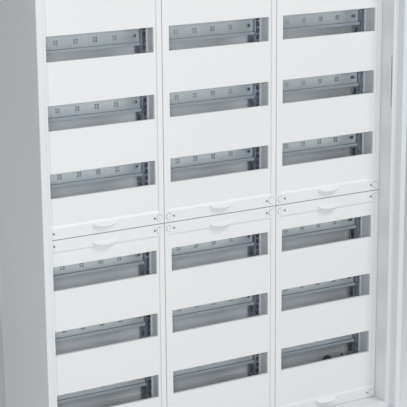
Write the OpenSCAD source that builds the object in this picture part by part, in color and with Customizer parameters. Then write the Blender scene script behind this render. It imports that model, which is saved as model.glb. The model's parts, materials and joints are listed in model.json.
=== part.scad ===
// Wall-mounted distribution cabinet with three device fields.
// Millimetres. +Z is up, the front faces -Y, and the origin is the middle of the bottom face.
// The enclosure is bent sheet steel, the fields carry DIN rails on perforated uprights,
// and touch covers with device slots are held by quarter-turn bayonet locks.

/* [Enclosure] */
// Overall width of the cabinet
cab_w = 800; // [800]
// Overall height of the cabinet
cab_h = 1100; // [1100]
// Overall depth of the cabinet
cab_d = 205; // [195:1:215]
// Sheet thickness of the side, top and bottom panels
sheet_t = 1.5; // [1:0.1:2]
// Thickness of the back panel
back_t = 1.5; // [1:0.1:2]

/* [Front frame] */
// Width of the outermost rim strip
rim_w = 12.5; // [11:0.5:13]
// Depth from the rim strip back to the door seat strip
ledge_d = 16.5; // [14:0.5:20]
// Width of the door seat strip
seat_w = 12.5; // [10:0.5:12.5]
// Depth from the front of the rim to the faces of the covers
recess_d = 55; // [50:0.5:60]
// Radius of the sheet bends
bend_r = 1.6; // [1:0.1:2]

/* [Fields and covers] */
// Width of one device field
field_w = 250; // [250]
// Distance between two rows of devices
row_pitch = 125; // [125]
// Height of a lower cover, which has three rows
lower_h = 450; // [450]
// Height of an upper cover, which has four rows
upper_h = 600; // [600]
// Width of a device slot
slot_w = 218; // [214:0.5:220]
// Height of a device slot
slot_h = 46.5; // [45:0.5:48]
// Gap around each cover, on every side
cover_gap = 0.8; // [0.5:0.1:1]
// Wall thickness of a cover
cover_t = 2.2; // [1.8:0.1:2.6]
// Depth of the folded edge of a cover
cover_depth = 22; // [18:1:22]
// How far the middle of a cover lies behind its raised border
panel_step = 2.5; // [1:0.5:3]
// Width of the raised border down the sides of a cover
side_band = 10; // [9:0.5:12]
// Height of the raised border at the ends of a cover
end_band = 22; // [21:0.5:24]
// Height of the slope from that border down to the sunk middle
end_slope = 4; // [2:0.5:5]

/* [Pull grips] */
// Width of a grip lip
grip_w = 50; // [40:1:55]
// Height of a grip lip as seen from the front
grip_h = 7; // [6:0.5:10]
// How far a grip lip stands out
grip_out = 9; // [6:0.5:10]
// Thickness of a grip lip
grip_t = 3.2; // [2.4:0.2:4]

/* [Quarter-turn locks] */
// Diameter of a lock head
lock_head_d = 11; // [9:0.1:11.4]
// Diameter of a lock shank where it turns in the cover
lock_shank_d = 6; // [5:0.1:6.5]
// Clearance of the lock shank in its bore, on the radius
lock_clear = 0.05; // [0.03:0.01:0.09]
// Distance from the field edge to a lock axis, sideways
lock_side = 10.5; // [10:0.5:12]
// Distance from the end of a cover to a lock axis
lock_end = 12; // [11:0.5:13]
// Length of the bayonet bar
bar_l = 12; // [10:0.5:12]

/* [Rails and uprights] */
// Height of a DIN rail
rail_h = 35; // [35]
// Depth of a DIN rail
rail_d = 7.5; // [7.5]
// Thickness of a DIN rail
rail_t = 1; // [1:0.1:1.2]
// Length of a DIN rail
rail_l = 221; // [218:0.5:221]
// Distance from the cover faces back to the front of the rails
rail_back = 57; // [54:0.5:60]
// Width of an upright between two fields
upright_w = 25; // [24:0.5:25]
// Depth of an upright
upright_d = 30; // [25:1:34]
// Thickness of the uprights and cover rails
profile_t = 1.5; // [1.2:0.1:2]
// Distance between the perforations of an upright
hole_pitch = 12.5; // [12.5]

/* [Cable entry] */
// Width of the cable opening in the top and bottom panels
entry_w = 600; // [500:10:620]
// Depth of the cable opening
entry_d = 90; // [80:5:100]
// Radius of a cable grommet hole
grommet_r = 16; // [12:1:20]
// Number of grommets in a row
grommet_n = 12; // [6:1:14]

/* [Wall fixing] */
// Radius of a wall screw hole
wall_hole_r = 4.5; // [4:0.5:5]
// Distance between the wall screw holes, sideways
wall_dx = 700; // [700]
// Distance between the wall screw holes, upwards
wall_dz = 850; // [850]

/* [Hidden] */
$fn = 48;
eps = 0.01;
screw_r = 2;

steel_white = [0.93, 0.94, 0.94];
cover_white = [0.95, 0.95, 0.94];
zinc = [0.68, 0.71, 0.74];
grey_paint = [0.6, 0.62, 0.64];
dark_rubber = [0.25, 0.26, 0.27];

front_y = -cab_d / 2;
back_y = cab_d / 2;
cover_y = front_y + recess_d;
frame_in = rim_w + seat_w;
base_z = (cab_h - lower_h - upper_h) / 2;
split_z = base_z + lower_h;
field_x = [-field_w, 0, field_w];
edge_x = [-1.5 * field_w, -0.5 * field_w, 0.5 * field_w, 1.5 * field_w];
lower_rows = [for (i = [0:2]) row_pitch * (1 + i)];
upper_rows = [for (i = [0:3]) 100 + row_pitch * i];
rows_z = concat([for (z = lower_rows) base_z + z], [for (z = upper_rows) split_z + z]);

rail_y = cover_y + rail_back;
web_back_y = rail_y + rail_d;
upright_y = rail_y - 1;
tab_y = cover_y + cover_depth + 0.5;
bar_t = 3;
bar_w = 4;
lock_ring = 0.6;
lock_proud = 1.2;
back_flange = 15;
wall_past_cover = 6;
strike_z = 652;
strike_l = 104;
strike_w = 2.5;
bar_y = tab_y + profile_t + 0.6;
frame_z0 = base_z + 15;
frame_z1 = cab_h - frame_z0;
crossbar_y = upright_y + upright_d;
crossbar_d = 20;
crossbar_h = 30;
inner_back_y = back_y - back_t;
rear_z = 49.5;
rear_plate_t = 1.2;
knockout_x = 353.5;
knockout_z = 61.5;
knockout_r = 12;

SIDES = ["left", "centre", "right"];
LEVELS = ["lower", "upper"];
CORNERS = ["bl", "br", "tl", "tr"];
LOCKS = [for (l = LEVELS) for (s = SIDES) for (c = CORNERS) str("lock_", l, "_", s, "_", c)];
COVERS = [for (l = LEVELS) for (s = SIDES) str("cover_", l, "_", s)];

// ---------- Helpers ----------

// Points of a quarter bend of radius r about c, from angle a by sweep
function bend(c, r, a, sweep) =
    [for (i = [0:3]) c + r * [cos(a + sweep * i / 3), sin(a + sweep * i / 3)]];

// A box given by its lowest and highest corners
module span(low, high) {
    translate(low) cube(high - low);
}

// A disc or bar along +Y, from y0 to y1, about the point (x, z)
module y_cylinder(x, z, y0, y1, r, fn = 48) {
    translate([x, y1, z]) rotate([90, 0, 0]) cylinder(r = r, h = y1 - y0, $fn = fn);
}

// A pan-head screw along Y: the head lies in front of y, the shank goes len behind it
module pan_screw(x, z, y, len) {
    head_h = 2.2;
    difference() {
        y_cylinder(x, z, y - head_h, y, 3.8, 32);
        span([x - 2.6, y - head_h - 1, z - 0.5], [x + 2.6, y - head_h + 1, z + 0.5]);
        span([x - 0.5, y - head_h - 1, z - 2.6], [x + 0.5, y - head_h + 1, z + 2.6]);
    }
    y_cylinder(x, z, y - eps, y + len, screw_r, 24);
}

// ---------- Sheet steel enclosure ----------

// Section of a panel: x is the depth behind the front, y the distance in from the outer face
function panel_section() =
    let (d = cab_d - back_t, t = sheet_t, w = rim_w, s = frame_in, l = ledge_d)
    let (e = recess_d + wall_past_cover, r = bend_r, f = back_flange)
    concat(
        [[d, 0]],
        bend([r, r], r, 270, -90),
        bend([r, w - r], r, 180, -90),
        [[l, w]],
        bend([l + r, s - r], r, 180, -90),
        [[e, s], [e, s - t], [l + t, s - t], [l + t, w - t], [t, w - t],
         [t, t], [d - t, t], [d - t, f], [d, f]]
    );

// A panel of the given length along X, mitred at 45 degrees to meet its neighbours
module panel(len) {
    k = frame_in + 1;
    intersection() {
        rotate([90, 0, 90]) linear_extrude(len) polygon(panel_section());
        translate([0, cab_d + 1, 0]) rotate([90, 0, 0]) linear_extrude(cab_d + 2)
            polygon([[0, 0], [len, 0], [len - k, k], [k, k]]);
    }
}

// The panel set upright as the left side, with a slot for a door strike in its recess wall
module side_panel() {
    strike_y = front_y + ledge_d + 4;
    difference() {
        translate([-cab_w / 2, front_y, 0]) mirror([0, 0, 1]) rotate([0, 90, 0]) panel(cab_h);
        translate([-cab_w / 2 + frame_in - 5, strike_y, strike_z]) cube([10, strike_w, strike_l]);
    }
}

module side_panel_left() {
    color(steel_white) side_panel();
}

module side_panel_right() {
    color(steel_white) mirror([1, 0, 0]) side_panel();
}

// The bottom panel with its cable opening; the top panel is its mirror image
module end_panel() {
    difference() {
        translate([-cab_w / 2, front_y, 0]) panel(cab_w);
        translate([-entry_w / 2, -entry_d / 2, -1]) cube([entry_w, entry_d, sheet_t + 2]);
    }
}

module bottom_panel() {
    color(steel_white) end_panel();
}

module top_panel() {
    color(steel_white) translate([0, 0, cab_h]) mirror([0, 0, 1]) end_panel();
}

// Rounded plug of a rear cable opening
module rear_opening(y0, y1) {
    w = 44;
    h = 38;
    r = 12;
    translate([0, y1, 0]) rotate([90, 0, 0]) linear_extrude(y1 - y0) union() {
        square([w - 2 * r, h], center = true);
        square([w, h - 2 * r], center = true);
        for (sx = [-1, 1], sz = [-1, 1]) translate([sx * (w / 2 - r), sz * (h / 2 - r)]) circle(r);
    }
}

// Places something at each of the rear cable openings
module at_rear_openings() {
    for (x = [edge_x[1], edge_x[2]]) translate([x, 0, rear_z]) children();
}

// Places something at each of the round rear knockouts
module at_rear_knockouts() {
    for (s = [-1, 1]) translate([s * knockout_x, 0, knockout_z]) children();
}

module back_panel() {
    color(grey_paint) difference() {
        span([-cab_w / 2, inner_back_y, 0], [cab_w / 2, back_y, cab_h]);
        for (sx = [-1, 1], sz = [-1, 1])
            y_cylinder(sx * wall_dx / 2, cab_h / 2 + sz * wall_dz / 2,
                       inner_back_y - 1, back_y + 1, wall_hole_r);
        at_rear_openings() rear_opening(inner_back_y - 1, back_y + 1);
        at_rear_knockouts() y_cylinder(0, 0, inner_back_y - 1, back_y + 1, knockout_r);
    }
}

// Thin plates over the rear cable openings, each with a plug that fills its opening
module rear_plates() {
    y0 = inner_back_y - rear_plate_t;
    h = 29.5;
    color(zinc) {
        at_rear_openings() {
            span([-49, y0, -h], [49, inner_back_y, h]);
            rear_opening(inner_back_y - eps, back_y);
        }
        for (s = [-1, 1]) mirror([s < 0 ? 1 : 0, 0, 0]) difference() {
            span([326, y0, rear_z - h], [384, inner_back_y, rear_z + h]);
            y_cylinder(knockout_x, knockout_z, y0 - 1, inner_back_y + 1, knockout_r + 2);
        }
    }
}

// Round knockouts beside the side uprights, sunk behind their plates
module rear_knockouts() {
    color(grey_paint) at_rear_knockouts() {
        y_cylinder(0, 0, inner_back_y - eps, back_y, knockout_r);
        y_cylinder(0, 0, inner_back_y - 0.5, inner_back_y, knockout_r + 1.5);
    }
}

// Blind rivets that join the back flanges of the panels to the back panel
module panel_rivets() {
    y0 = inner_back_y - sheet_t;
    color(zinc) {
        for (sx = [-1, 1], i = [0:6]) rivet(sx * (cab_w / 2 - 8), 70 + i * 160, y0);
        for (z = [8, cab_h - 8], i = [-2:2]) rivet(i * 150, z, y0);
    }
}

module rivet(x, z, y) {
    y_cylinder(x, z, y - 1.2, y, 3.6, 24);
}

// ---------- Cable entries ----------

// A plate under a cable opening, with one row of grommet holes; z is its lower face
module entry_plate(z) {
    color(steel_white) difference() {
        span([-entry_w / 2 - 18, -entry_d / 2 - 14, z], [entry_w / 2 + 18, entry_d / 2 + 14, z + 1.5]);
        for (x = grommet_x()) translate([x, 0, z - 1]) cylinder(r = grommet_r, h = 4);
    }
}

function grommet_x() =
    [for (i = [0:grommet_n - 1]) (i - (grommet_n - 1) / 2) * entry_w / (grommet_n + 0.6)];

module entry_plate_bottom() {
    entry_plate(sheet_t);
}

module entry_plate_top() {
    entry_plate(cab_h - sheet_t - 1.5);
}

// A rubber grommet with a thin membrane, flush with the outside face at z = 0
module grommet() {
    difference() {
        union() {
            cylinder(r = grommet_r + 2, h = sheet_t);
            cylinder(r = grommet_r, h = sheet_t + 2);
            translate([0, 0, sheet_t + 1.5]) cylinder(r = grommet_r + 2, h = 1.5);
        }
        translate([0, 0, -1]) cylinder(r = grommet_r - 3, h = 2.2);
        translate([0, 0, 2.2]) cylinder(r = grommet_r - 3, h = 4);
    }
}

module entry_grommets() {
    color(dark_rubber) for (x = grommet_x()) {
        translate([x, 0, 0]) grommet();
        translate([x, 0, cab_h]) mirror([0, 0, 1]) grommet();
    }
}

// Pan-head screws that hold the two entry plates from inside
module entry_plate_screws() {
    zs = [sheet_t + 1.5, cab_h - sheet_t - 1.5];
    color(zinc) for (k = [0, 1], x = [-270, -90, 90, 270], sy = [-1, 1])
        translate([x, sy * (entry_d / 2 + 8), zs[k]]) mirror([0, 0, k]) {
            cylinder(r = 4, h = 2.2, $fn = 32);
        }
}

// ---------- Mounting frame ----------

// Bonding stud with its nut, welded to the back panel behind an upright
module earth_stud() {
    stud_r = 4;
    stud_z = base_z + 95;
    color([0.8, 0.68, 0.35]) translate([edge_x[1], inner_back_y, stud_z]) rotate([90, 0, 0]) {
        cylinder(r = stud_r, h = 24);
        translate([0, 0, 8]) difference() {
            cylinder(r = 7.5, h = 6.5, $fn = 6);
            translate([0, 0, -1]) cylinder(r = stud_r, h = 9);
        }
    }
}

// Perforated box section with its front at upright_y; a side upright is half of it, open outwards
module upright(i) {
    color(zinc) difference() {
        translate([edge_x[i], 0, 0]) mirror([i == 0 ? 1 : 0, 0, 0]) perforated_box(i == 0 || i == 3);
        for (z = crossbar_z(), x = upright_screw_x())
            y_cylinder(x, z, crossbar_y - profile_t - 1, crossbar_y + 1, screw_r, 24);
    }
}

// One upright about x = 0, with two rows of holes in its face and long slots in its flanks
module perforated_box(outer) {
    x0 = -upright_w / 2;
    x1 = outer ? 0 : upright_w / 2;
    n = floor((frame_z1 - frame_z0) / hole_pitch);
    hole_x = 7.6;
    hole_w = 6.4;
    hole_h = 8.8;
    flank_slot_h = 19;
    difference() {
        span([x0, upright_y, frame_z0], [x1, upright_y + upright_d, frame_z1]);
        span([x0 + profile_t, upright_y + profile_t, frame_z0 - 1],
             [x1 - (outer ? -1 : profile_t), upright_y + upright_d - profile_t, frame_z1 + 1]);
        for (k = [1:n - 1]) {
            z = frame_z0 + k * hole_pitch;
            for (s = outer ? [-1] : [-1, 1])
                span([s * hole_x - hole_w / 2, upright_y - 1, z - hole_h / 2],
                     [s * hole_x + hole_w / 2, upright_y + profile_t + 1, z + hole_h / 2]);
            if (k % 2 == 0)
                span([x0 - 1, upright_y + 8, z - flank_slot_h / 2],
                     [x1 + 1, upright_y + 22, z + flank_slot_h / 2]);
        }
    }
}

// Plain fin that stands forward of an upright, with slotted tabs for the cover locks
module cover_rail(i) {
    outer = i == 0 || i == 3;
    fin = 1;
    color(grey_paint) translate([edge_x[i], 0, 0]) mirror([i == 0 ? 1 : 0, 0, 0]) difference() {
        union() {
            x1 = outer ? 0 : fin;
            x0 = outer ? -2 * fin : -fin;
            span([x0, tab_y, base_z + 4], [x1, upright_y, cab_h - base_z - 4]);
            span([x0 - 3, upright_y - profile_t, frame_z0], [x1 + (outer ? 0 : 3), upright_y, frame_z1]);
            for (z = tab_z())
                span([-22, tab_y, z[0]], [outer ? 0 : 22, tab_y + profile_t, z[1]]);
        }
        for (z = lock_z(), s = outer ? [-1] : [-1, 1])
            span([s * lock_side - bar_w / 2 - 1, tab_y - 1, z - bar_l / 2 - 1],
                 [s * lock_side + bar_w / 2 + 1, tab_y + profile_t + 1, z + bar_l / 2 + 1]);
    }
}

// Heights of the lock axes, and of the tabs that receive them
function lock_z() = [base_z + lock_end, split_z - lock_end, split_z + lock_end, cab_h - base_z - lock_end];
function tab_z() = [
    [base_z + 2, base_z + lock_end + 12],
    [split_z - lock_end - 12, split_z + lock_end + 12],
    [cab_h - base_z - lock_end - 12, cab_h - base_z - 2]
];

// Hat-section bar across the back of the uprights; z is its middle
module crossbar(z) {
    w = 1.5 * field_w - 1;
    color(zinc) difference() {
        span([-w, crossbar_y, z - crossbar_h / 2], [w, crossbar_y + crossbar_d, z + crossbar_h / 2]);
        span([-w - 1, crossbar_y + profile_t, z - crossbar_h / 2 + profile_t],
             [w + 1, crossbar_y + crossbar_d + 1, z + crossbar_h / 2 - profile_t]);
        for (x = upright_screw_x())
            y_cylinder(x, z, crossbar_y - 1, crossbar_y + profile_t + 1, screw_r, 24);
    }
}

function crossbar_z() = [frame_z0 + crossbar_h / 2 + 2, frame_z1 - crossbar_h / 2 - 2];

// Steel spacers that carry the crossbars on the back panel
module crossbar_standoffs() {
    color(zinc) for (z = crossbar_z(), x = [-300, -200, -50, 50, 200, 300])
        y_cylinder(x, z, crossbar_y + profile_t, inner_back_y, 6, 32);
}

// Screws inside the uprights, through their backs and through the crossbar webs
module upright_screws() {
    color(zinc) for (z = crossbar_z(), x = upright_screw_x())
        pan_screw(x, z, crossbar_y - profile_t, 6.5);
}

// Places of those screws: one in each side upright, two in each of the others
function upright_screw_x() = [
    for (x = edge_x, s = x < -field_w ? [1] : x > field_w ? [-1] : [-1, 1]) x + s * 6.5
];

// All the screws: those of the entry plates and those of the uprights
module screws() {
    entry_plate_screws();
    upright_screws();
}

// ---------- DIN rails ----------

// Small pierced grid in a rail web, four windows in a square of 9 mm
module pierced_grid(x) {
    for (sx = [-1, 1], sz = [-1, 1])
        span([x + sx * 2.6 - 1.8, web_back_y - rail_t - 1, sz * 2.6 - 1.8],
             [x + sx * 2.6 + 1.8, web_back_y + 1, sz * 2.6 + 1.8]);
}

// Long fixing hole through a rail web; s is -1 or 1 for the left or right end
module rail_end_hole(s) {
    y0 = web_back_y - rail_t - 1;
    y1 = web_back_y + 1;
    for (x = [97.5, 102]) y_cylinder(s * x, 0, y0, y1, 3.2, 24);
    span([s * 99.75 - 2.25, y0, -3.2], [s * 99.75 + 2.25, y1, 3.2]);
}

// One top-hat rail, centred on x = 0 and z = 0
module din_rail() {
    h = rail_h / 2;
    lip = 4.5;
    t = rail_t;
    difference() {
        rotate([90, 0, 90]) translate([0, 0, -rail_l / 2]) linear_extrude(rail_l) polygon([
            [rail_y, h], [rail_y, h - lip - t], [web_back_y - t, h - lip - t],
            [web_back_y - t, -h + lip + t], [rail_y, -h + lip + t], [rail_y, -h],
            [rail_y + t, -h], [rail_y + t, -h + lip],
            [web_back_y, -h + lip], [web_back_y, h - lip], [rail_y + t, h - lip], [rail_y + t, h]
        ]);
        for (x = [-60, -20, 20, 60]) pierced_grid(x);
        for (s = [-1, 1]) rail_end_hole(s);
    }
}

module din_rails(i) {
    color(zinc) for (z = rows_z) translate([field_x[i], 0, z]) din_rail();
}

// Angle bracket behind a rail end, held against the flank of the upright; s is -1 or 1
module rail_clip(s) {
    x = (field_w - upright_w) / 2;
    mirror([s < 0 ? 1 : 0, 0, 0]) {
        span([x - 6, web_back_y, -11], [x, web_back_y + 1.5, 11]);
        span([x - 1.5, web_back_y, -11], [x, web_back_y + 17, 11]);
    }
}

module rail_clips(i) {
    color(zinc) for (z = rows_z, s = [-1, 1]) translate([field_x[i], 0, z]) rail_clip(s);
}

// ---------- Covers ----------

// Height of one cover and its rows, by level: 0 is lower, 1 is upper
function cover_h(level) = level == 0 ? lower_h : upper_h;
function cover_rows(level) = level == 0 ? lower_rows : upper_rows;
function cover_z(level) = level == 0 ? base_z : split_z;

// The tilted tongue of a grip, hung from its straight top edge at the origin.
// Its lower edge is a flat arc with rounded corners.
module grip_lip() {
    tongue = sqrt(grip_h * grip_h + grip_out * grip_out);
    lift = atan2(grip_out, grip_h);
    half = grip_w / 2;
    arc_r = 60;
    corner_r = 5.5;
    rotate([-lift, 0, 0]) intersection() {
        y_cylinder(0, arc_r - tongue, 0, grip_t, arc_r, 180);
        union() {
            span([-half + corner_r, 0, -tongue], [half - corner_r, grip_t, 1]);
            span([-half, 0, -1.5], [half, grip_t, 1]);
            for (s = [-1, 1]) y_cylinder(s * (half - corner_r), -1.5, 0, grip_t, corner_r);
        }
    }
}

// Heights of the two grips of a cover, at the straight top edge of each lip
function grip_z(level) = [end_band, cover_h(level) - 13.5];

// The sunk middle of a cover with sloped ends, as a block along X from -w to w, between z0 and z1
module sunk_middle(w, z0, z1) {
    rotate([90, 0, 90]) translate([0, 0, -w]) linear_extrude(2 * w) polygon([
        [-1, z0], [0, z0], [panel_step, z0 + end_slope],
        [panel_step, z1 - end_slope], [0, z1], [-1, z1]
    ]);
}

// A moulded cover, in its own frame: x from its middle, y from its face, z from the end of its field
module cover_shape(level) {
    h = cover_h(level);
    w = field_w / 2 - cover_gap;
    z0 = cover_gap;
    z1 = h - cover_gap;
    t = cover_t;
    wi = w - side_band;
    collar_t = 1.5;
    collar_d = 6;
    difference() {
        union() {
            // folded outer walls and the face
            difference() {
                span([-w, 0, z0], [w, cover_depth, z1]);
                span([-w + t, t, z0 + t], [w - t, cover_depth + 1, z1 - t]);
            }
            // floor of the sunk middle
            span([-wi - t, t - eps, z0 + end_band - t], [wi + t, t + panel_step, z1 - end_band + t]);
            // stiffening collars around the device slots
            for (z = cover_rows(level))
                span([-slot_w / 2 - collar_t, panel_step, z - slot_h / 2 - collar_t],
                     [slot_w / 2 + collar_t, panel_step + collar_d, z + slot_h / 2 + collar_t]);
            // bosses for the locks
            for (x = lock_x(), z = [lock_end, h - lock_end]) y_cylinder(x, z, t - eps, 7.7, 7);
        }
        sunk_middle(wi, end_band, h - end_band);
        for (z = cover_rows(level))
            span([-slot_w / 2, -1, z - slot_h / 2], [slot_w / 2, cover_depth, z + slot_h / 2]);
        for (x = lock_x(), z = [lock_end, h - lock_end]) {
            y_cylinder(x, z, -1, 1.7, lock_head_d / 2 + lock_ring);
            y_cylinder(x, z, -2, 9, lock_shank_d / 2 + lock_clear);
        }
    }
    for (z = grip_z(level)) translate([0, 0, z]) grip_lip();
}

function lock_x() = [-field_w / 2 + lock_side, field_w / 2 - lock_side];

module cover(level, i) {
    color(cover_white) translate([field_x[i], cover_y, cover_z(level)]) cover_shape(level);
}

// ---------- Quarter-turn locks ----------

// A bayonet lock along +Y: slotted head, bearing shank, snap collar, neck and bar.
// The bar stands upright, in line with its slot, when the lock is released.
module lock(x, z) {
    neck_r = 2.1;
    cut_w = 1.6;
    cut_l = 7;
    color([0.9, 0.91, 0.91]) translate([x, cover_y, z]) {
        difference() {
            y_cylinder(0, 0, -lock_proud, 1.5, lock_head_d / 2);
            span([-cut_l / 2, -lock_proud - 1, -cut_w / 2], [cut_l / 2, 0.3, cut_w / 2]);
            span([-cut_w / 2, -lock_proud - 1, -cut_l / 2], [cut_w / 2, 0.3, cut_l / 2]);
        }
        y_cylinder(0, 0, 1.5 - eps, 8, lock_shank_d / 2);
        y_cylinder(0, 0, 8 - eps, 9.5, 4);
        y_cylinder(0, 0, 9.5 - eps, bar_y - cover_y + bar_t, neck_r);
        span([-bar_w / 2, bar_y - cover_y, -bar_l / 2], [bar_w / 2, bar_y - cover_y + bar_t, bar_l / 2]);
    }
}

// Lock number k of a cover: bottom left, bottom right, top left, top right
module cover_lock(level, i, k) {
    z = k < 2 ? lock_end : cover_h(level) - lock_end;
    lock(field_x[i] + lock_x()[k % 2], cover_z(level) + z);
}

// ---------- Nodes ----------

back_panel();
side_panel_left();
side_panel_right();
top_panel();
bottom_panel();
entry_plate_top();
entry_plate_bottom();
entry_grommets();
rear_plates();
rear_knockouts();
panel_rivets();
earth_stud();
for (i = [0:3]) upright(i);
for (i = [0:3]) cover_rail(i);
crossbar(crossbar_z()[1]);  // crossbar_top
crossbar(crossbar_z()[0]);  // crossbar_bottom
crossbar_standoffs();
screws();
for (i = [0:2]) din_rails(i);
for (i = [0:2]) rail_clips(i);
for (n = [0:5]) cover(floor(n / 3), n % 3);
for (n = [0:23]) cover_lock(floor(n / 12), floor(n / 4) % 3, n % 4);
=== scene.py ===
"""Looks of the switchboard cabinet: materials, small moulded details, floor, light and camera."""
import json
import math

import bmesh
import bpy
from mathutils import Euler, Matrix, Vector


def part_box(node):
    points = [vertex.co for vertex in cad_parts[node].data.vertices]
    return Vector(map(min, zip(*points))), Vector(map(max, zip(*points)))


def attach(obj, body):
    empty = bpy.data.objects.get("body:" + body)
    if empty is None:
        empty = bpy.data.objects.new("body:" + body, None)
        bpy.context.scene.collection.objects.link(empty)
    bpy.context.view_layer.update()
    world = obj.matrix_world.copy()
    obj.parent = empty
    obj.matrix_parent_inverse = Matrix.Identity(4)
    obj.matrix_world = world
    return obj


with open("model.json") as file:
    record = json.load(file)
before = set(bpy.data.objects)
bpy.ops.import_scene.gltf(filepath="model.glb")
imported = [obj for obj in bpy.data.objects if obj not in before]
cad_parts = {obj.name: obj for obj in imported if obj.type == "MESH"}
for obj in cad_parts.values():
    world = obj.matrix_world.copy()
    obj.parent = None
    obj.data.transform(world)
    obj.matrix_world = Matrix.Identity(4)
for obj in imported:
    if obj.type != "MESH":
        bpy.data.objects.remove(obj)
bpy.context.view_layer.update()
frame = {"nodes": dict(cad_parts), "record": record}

MM = 0.001
NODES = frame["nodes"]
LEVELS = ("lower", "upper")
SIDES = ("left", "centre", "right")
CORNERS = ("bl", "br", "tl", "tr")

# The lock heads stand this far out of the cover, and the printed arrows and painted shade rings this
# far
LOCK_PROUD = 1.2 * MM
MARK_THICKNESS = 0.12 * MM
# Radii of the thin dark ring of painted shade around each lock head
SHADE_RING_INNER = 6.1 * MM
SHADE_RING_OUTER = 6.35 * MM
ARROW_SIZE = 3.8 * MM
ARROW_DISTANCE = 10.6 * MM

# Depths of the rail section at which the colour changes between the pale lips, the painted shade on
# the flanges and the web, from the front lip and from the web's back
LIP_FRONT = 1.0 * MM
LIP_BACK = 1.6 * MM
WEB_START = 1.6 * MM
WEB_END = 1.1 * MM

# Studio
OBJECT_CENTRE = (0.0, 0.0, 0.55)
FLOOR_HALF_SIZE = 12.0
FLOOR_DROP = 0.5 * MM
WORLD_COLOUR = (0.97, 0.985, 1.0, 1.0)
WORLD_STRENGTH = 0.33
CAMERA_PLACE = (-1.5103, -2.5942, 1.2636)
CAMERA_YAW, CAMERA_PITCH, CAMERA_ROLL = 30.01, 14.52, -0.43
CAMERA_LENS, SENSOR_WIDTH = 140.5, 36.0


# ---------- Shader helpers ----------

class Shader:
    """A material with one Principled surface, and short calls for the nodes that feed it."""

    def __init__(self, name):
        self.material = bpy.data.materials.new(name)
        self.material.use_nodes = True
        self.tree = self.material.node_tree
        self.tree.nodes.clear()
        self.surface = self.node("ShaderNodeBsdfPrincipled")
        output = self.node("ShaderNodeOutputMaterial")
        self.link(self.surface.outputs["BSDF"], output.inputs["Surface"])
        self.place = self.node("ShaderNodeTexCoord").outputs["Object"]

    def node(self, kind, **settings):
        made = self.tree.nodes.new(kind)
        for key, value in settings.items():
            setattr(made, key, value)
        return made

    def link(self, source, target):
        self.tree.links.new(source, target)

    def set(self, **values):
        for key, value in values.items():
            self.surface.inputs[key.replace("_", " ")].default_value = value

    def stretched(self, scale):
        """Object coordinates, scaled differently along each axis."""
        mapping = self.node("ShaderNodeMapping")
        mapping.inputs["Scale"].default_value = scale
        self.link(self.place, mapping.inputs["Vector"])
        return mapping.outputs["Vector"]

    def noise(self, scale, detail=2.0, stretch=(1, 1, 1)):
        made = self.node("ShaderNodeTexNoise")
        made.inputs["Scale"].default_value = scale
        made.inputs["Detail"].default_value = detail
        self.link(self.stretched(stretch), made.inputs["Vector"])
        return made.outputs["Fac"]

    def cells(self, scale, stretch=(1, 1, 1)):
        """A random value for each crystal-like cell."""
        made = self.node("ShaderNodeTexVoronoi")
        made.inputs["Scale"].default_value = scale
        self.link(self.stretched(stretch), made.inputs["Vector"])
        grey = self.node("ShaderNodeSeparateColor")
        self.link(made.outputs["Color"], grey.inputs["Color"])
        return grey.outputs["Red"]

    def between(self, value, low, high, start=0.0, end=1.0):
        """Maps a value from start..end to low..high."""
        made = self.node("ShaderNodeMapRange")
        for key, number in zip(("From Min", "From Max", "To Min", "To Max"), (start, end, low, high)):
            made.inputs[key].default_value = number
        self.link(value, made.inputs["Value"])
        return made.outputs["Result"]

    def blend(self, factor, first, second):
        made = self.node("ShaderNodeMix", data_type="RGBA")
        self.link(factor, made.inputs["Factor"])
        for key, colour in (("A", first), ("B", second)):
            if isinstance(colour, tuple):
                made.inputs[key].default_value = (*colour, 1.0)
            else:
                self.link(colour, made.inputs[key])
        return made.outputs["Result"]

    def bump(self, height, distance, under=None):
        made = self.node("ShaderNodeBump")
        made.inputs["Distance"].default_value = distance
        made.inputs["Strength"].default_value = 1.0
        self.link(height, made.inputs["Height"])
        if under:
            self.link(under, made.inputs["Normal"])
        return made.outputs["Normal"]

    def feed(self, **sources):
        for key, source in sources.items():
            self.link(source, self.surface.inputs[key.replace("_", " ")])


def scaled(colour, factor):
    return tuple(min(1.0, c * factor) for c in colour)


# ---------- Materials ----------

def powder_coat(name, colour, roughness, peel=0.00006, mottle=0.02):
    """Baked powder paint: a fine orange peel, faint cloudiness and a little dust."""
    s = Shader(name)
    s.set(Metallic=0.0, Coat_Weight=0.12, Coat_Roughness=0.35)
    cloud = s.between(s.noise(3.1, 3.0), 0.0, 1.0, 0.35, 0.65)
    clouded = s.blend(cloud, scaled(colour, 1 - mottle), scaled(colour, 1 + mottle))
    specks = s.between(s.noise(2300, 1.0), 0.0, 1.0, 0.66, 0.74)
    s.feed(Base_Color=s.blend(specks, clouded, scaled(colour, 0.93)))
    s.feed(Roughness=s.between(s.noise(160, 2.0), roughness - 0.05, roughness + 0.05, 0.3, 0.7))
    coarse = s.bump(s.noise(420, 2.0), peel)
    s.feed(Normal=s.bump(s.noise(1500, 1.0), peel * 0.25, under=coarse))
    return s.material


def moulded_plastic(name, colour, roughness):
    """Satin mould finish: a very fine eroded grain with slight flow lines."""
    s = Shader(name)
    s.set(Metallic=0.0, IOR=1.49)
    flow = s.between(s.noise(2.2, 3.0, (1, 1, 0.5)), 0.0, 1.0, 0.35, 0.65)
    s.feed(Base_Color=s.blend(flow, scaled(colour, 0.985), scaled(colour, 1.01)))
    s.feed(Roughness=s.between(s.noise(240, 2.0), roughness - 0.04, roughness + 0.05, 0.3, 0.7))
    grain = s.bump(s.cells(2600), 0.000012)
    s.feed(Normal=s.bump(s.noise(900, 2.0), 0.00002, under=grain))
    return s.material


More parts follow.
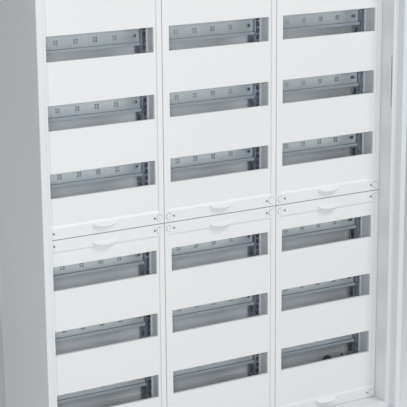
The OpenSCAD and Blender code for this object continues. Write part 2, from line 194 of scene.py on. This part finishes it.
def galvanised(name, dark, light, spangle=140, roughness=0.42):
    """Zinc coating: crystal spangles that differ in tone and gloss, with fine rolling lines."""
    s = Shader(name)
    s.set(Metallic=0.8)
    crystals = s.cells(spangle)
    haze = s.noise(18, 3.0)
    tone = s.node("ShaderNodeMath", operation="MULTIPLY_ADD")
    tone.inputs[1].default_value = 0.6
    s.link(crystals, tone.inputs[0])
    s.link(s.between(haze, -0.1, 0.5, 0.35, 0.65), tone.inputs[2])
    s.feed(Base_Color=s.blend(tone.outputs["Value"], dark, light))
    s.feed(Roughness=s.between(crystals, roughness - 0.07, roughness + 0.1))
    lines = s.bump(s.noise(30, 2.0, (40, 40, 1)), 0.00001)
    s.feed(Normal=s.bump(crystals, 0.000008, under=lines))
    return s.material


def rolled_zinc(name, dark, light, lip_y, web_y):
    """Bright zinc-plated rail, drawn along X: a pale web and front lips, and painted shade on the
    flanges between, where the shadow under the lips falls.
    """
    s = Shader(name)
    s.set(Metallic=0.5)
    lines = s.noise(26, 3.0, (0.25, 40, 40))
    cloud = s.between(s.noise(9, 2.0), 0.0, 1.0, 0.35, 0.65)
    lined = s.blend(s.between(lines, 0.0, 1.0, 0.3, 0.7), dark, light)
    clouded = s.blend(cloud, lined, scaled(light, 1.03))
    depth = s.node("ShaderNodeSeparateXYZ")
    s.link(s.place, depth.inputs["Vector"])
    y = depth.outputs["Y"]
    # Painted shade: the flanges between lip and web get a much darker zinc, standing in for the
    # shadow under the lips
    flange_shade_mask = s.between(y, 0.0, 1.0, lip_y + LIP_FRONT, lip_y + LIP_BACK)
    pale_lip_or_flange_shade = s.blend(flange_shade_mask, (0.84, 0.92, 1.0), scaled(dark, 0.3))
    on_web = s.between(y, 0.0, 1.0, web_y - WEB_START, web_y - WEB_END)
    s.feed(Base_Color=s.blend(on_web, pale_lip_or_flange_shade, clouded))
    s.feed(Roughness=s.between(lines, 0.28, 0.42, 0.3, 0.7))
    s.feed(Normal=s.bump(lines, 0.00002))
    return s.material


def rubber(name, colour):
    s = Shader(name)
    s.set(Metallic=0.0)
    bloom = s.between(s.noise(60, 4.0), 0.0, 1.0, 0.35, 0.7)
    s.feed(Base_Color=s.blend(bloom, colour, scaled(colour, 1.5)))
    s.feed(Roughness=s.between(s.noise(300, 2.0), 0.6, 0.8, 0.3, 0.7))
    s.feed(Normal=s.bump(s.noise(1200, 2.0), 0.00004))
    return s.material


def brass(name):
    s = Shader(name)
    s.set(Metallic=1.0)
    lines = s.noise(60, 3.0, (30, 1, 30))
    s.feed(Base_Color=s.blend(lines, (0.62, 0.44, 0.17), (0.83, 0.66, 0.33)))
    s.feed(Roughness=s.between(lines, 0.22, 0.38, 0.3, 0.7))
    s.feed(Normal=s.bump(lines, 0.00002))
    return s.material


def printed_ink_and_painted_shade(name, colour):
    s = Shader(name)
    s.set(Metallic=0.0)
    s.feed(Base_Color=s.blend(s.noise(900, 2.0), colour, scaled(colour, 1.4)))
    s.feed(Roughness=s.between(s.noise(500, 2.0), 0.4, 0.6, 0.3, 0.7))
    return s.material


RAIL_LIP_Y, RAIL_BACK_Y = (corner.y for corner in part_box("din_rails_centre"))
ENCLOSURE_WHITE = (0.76, 0.785, 0.805)
COVER_WHITE = (0.815, 0.825, 0.83)
MATERIALS = {
    "enclosure_white": powder_coat("enclosure_powder_coat", ENCLOSURE_WHITE, 0.42),
    "inner_grey": powder_coat("inner_grey_paint", (0.80, 0.84, 0.875), 0.5),
    "cover_white": moulded_plastic("cover_plastic", COVER_WHITE, 0.42),
    "lock_plastic": moulded_plastic("lock_plastic", (0.88, 0.89, 0.895), 0.28),
    "zinc_steel": galvanised("galvanised_steel", (0.24, 0.27, 0.31), (0.56, 0.61, 0.67)),
    "rail_steel": rolled_zinc("rail_zinc", (0.80, 0.89, 0.95), (0.89, 0.96, 1.0),
                              RAIL_LIP_Y, RAIL_BACK_Y),
    "grommet_rubber": rubber("grommet_rubber", (0.035, 0.037, 0.04)),
    "brass": brass("earth_brass"),
}
# Dark ink of the printed arrows; the same material also paints the shade rings around the locks
ARROW_INK_AND_SHADE_RING = printed_ink_and_painted_shade("arrow_ink_and_painted_shade_ring", (0.10, 0.11, 0.12))


# ---------- CAD nodes ----------

# Radius of the rounded edges that moulding, bending and paint leave, by material slot
EDGE_RADIUS = {
    "enclosure_white": 0.5 * MM,
    "inner_grey": 0.3 * MM,
    "cover_white": 0.45 * MM,
    "lock_plastic": 0.3 * MM,
    "rail_steel": 0.4 * MM,
    "zinc_steel": 0.2 * MM,
}


def soften(obj, radius):
    """Rounds the sharp edges of a CAD piece with a small bevel."""
    weld = obj.modifiers.new("weld", "WELD")
    weld.merge_threshold = 1e-6
    bevel = obj.modifiers.new("soft_edges", "BEVEL")
    bevel.width = radius
    bevel.segments = 2
    bevel.limit_method = "ANGLE"
    bevel.angle_limit = math.radians(50)
    bevel.use_clamp_overlap = True
    bevel.harden_normals = True


def dress_cad_nodes():
    for entry in frame["record"]["subparts"]:
        obj = NODES[entry["node"]]
        slot = entry["material_slot"]
        obj.data.materials.clear()
        obj.data.materials.append(MATERIALS[slot])
        if slot in EDGE_RADIUS:
            soften(obj, EDGE_RADIUS[slot])


# ---------- Printed arrows beside the locks, and rings of painted shade around them ---

def mesh_object(name, build, material):
    """A new object whose mesh is filled in by build(bm)."""
    bm = bmesh.new()
    build(bm)
    bmesh.ops.recalc_face_normals(bm, faces=bm.faces)
    mesh = bpy.data.meshes.new(name)
    bm.to_mesh(mesh)
    bm.free()
    obj = bpy.data.objects.new(name, mesh)
    bpy.context.scene.collection.objects.link(obj)
    mesh.materials.append(material)
    return obj


def add_prism(bm, place, outline, thickness):
    """A thin closed solid on a face that looks along -Y, from an outline of (x, z) about place."""
    front = [bm.verts.new((place.x + x, place.y - thickness, place.z + z)) for x, z in outline]
    back = [bm.verts.new((place.x + x, place.y, place.z + z)) for x, z in outline]
    bm.faces.new(front)
    bm.faces.new(reversed(back))
    for i in range(len(outline)):
        j = (i + 1) % len(outline)
        bm.faces.new((front[i], back[i], back[j], front[j]))


def add_arrow(bm, place, direction, size, thickness):
    """A small arrow head that points along +X or -X, by the sign of direction."""
    corners = ((1.0, 0.0), (-0.55, 0.75), (-0.25, 0.0), (-0.55, -0.75))
    add_prism(bm, place, [(size * direction * x, size * z) for x, z in corners], thickness)


def add_ring(bm, place, inner, outer, thickness, segments=48):
    """A thin flat ring on a face that looks along -Y."""
    loops = []
    back, front = place.y, place.y - thickness
    angles = [2 * math.pi * i / segments for i in range(segments)]
    for radius, y in ((inner, back), (inner, front), (outer, front), (outer, back)):
        points = [(place.x + radius * math.cos(a), y, place.z + radius * math.sin(a)) for a in angles]
        loops.append([bm.verts.new(point) for point in points])
    for k, first in enumerate(loops):
        second = loops[(k + 1) % len(loops)]
        for i in range(segments):
            j = (i + 1) % segments
            bm.faces.new((first[i], first[j], second[j], second[i]))


def add_lock_marks():
    """A dark ring of painted shade around each lock, for the shadow in the gap around its head, and a
    printed arrow beside it, which points at it from the inner side.
    """
    for level in LEVELS:
        for side in SIDES:
            cover = f"cover_{level}_{side}"
            lock_front = min(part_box(f"lock_{level}_{side}_{corner}")[0].y for corner in CORNERS)
            face_y = lock_front + LOCK_PROUD

            def build(bm, level=level, side=side, face_y=face_y):
                for corner in CORNERS:
                    low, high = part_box(f"lock_{level}_{side}_{corner}")
                    middle = (low + high) / 2
                    inward = 1 if corner[1] == "l" else -1
                    lock = Vector((middle.x, face_y, middle.z))
                    # Painted shade: a thin dark ring standing in for the shadow in the gap around the
                    # lock head
                    add_ring(bm, lock, SHADE_RING_INNER, SHADE_RING_OUTER, MARK_THICKNESS)
                    beside = lock + Vector((inward * ARROW_DISTANCE, 0, 0))
                    add_arrow(bm, beside, -inward, ARROW_SIZE, MARK_THICKNESS)

            marks = mesh_object(f"lock_marks_{level}_{side}", build, ARROW_INK_AND_SHADE_RING)
            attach(marks, cover)


# ---------- Stage ----------

def add_floor():
    s = Shader("studio_floor")
    s.set(Roughness=0.9)
    s.feed(Base_Color=s.blend(s.noise(0.8, 2.0), (0.93, 0.93, 0.93), (0.95, 0.95, 0.95)))

    def build(bm):
        bmesh.ops.create_grid(bm, x_segments=1, y_segments=1, size=FLOOR_HALF_SIZE)

    floor = mesh_object("floor", build, s.material)
    floor.location.z = -FLOOR_DROP


def add_area_light(name, place, side, power):
    """A square light of the given side, aimed at the middle of the cabinet."""
    data = bpy.data.lights.new(name, "AREA")
    data.shape = "RECTANGLE"
    data.size, data.size_y = side, side
    data.energy = power
    light = bpy.data.objects.new(name, data)
    light.location = place
    light.rotation_euler = (Vector(OBJECT_CENTRE) - Vector(place)).to_track_quat("-Z", "Y").to_euler()
    bpy.context.scene.collection.objects.link(light)


def add_lights():
    add_area_light("key", (1.2, -2.1, 3.3), side=1.4, power=53)
    # Close to the camera, so it reaches the back wall through the slots
    add_area_light("front_fill", (-1.5, -2.6, 1.27), side=0.5, power=27)
    world = bpy.data.worlds.new("studio")
    bpy.context.scene.world = world
    world.use_nodes = True
    background = world.node_tree.nodes["Background"]
    background.inputs["Color"].default_value = WORLD_COLOUR
    background.inputs["Strength"].default_value = WORLD_STRENGTH


def add_camera():
    """The photograph's view: from the front left, above the middle and tilted down."""
    data = bpy.data.cameras.new("camera")
    data.sensor_width = SENSOR_WIDTH
    data.lens = CAMERA_LENS
    camera = bpy.data.objects.new("camera", data)
    camera.location = CAMERA_PLACE
    yaw, pitch, roll = (math.radians(a) for a in (CAMERA_YAW, CAMERA_PITCH, CAMERA_ROLL))
    aim = Euler((math.pi / 2 - pitch, 0.0, -yaw)).to_quaternion()
    camera.rotation_mode = "QUATERNION"
    camera.rotation_quaternion = aim @ Euler((0.0, 0.0, roll)).to_quaternion()
    bpy.context.scene.collection.objects.link(camera)
    bpy.context.scene.camera = camera


def set_colours():
    view = bpy.context.scene.view_settings
    view.view_transform = "Standard"
    view.look = "None"


dress_cad_nodes()
add_lock_marks()
add_floor()
add_lights()
add_camera()
set_colours()
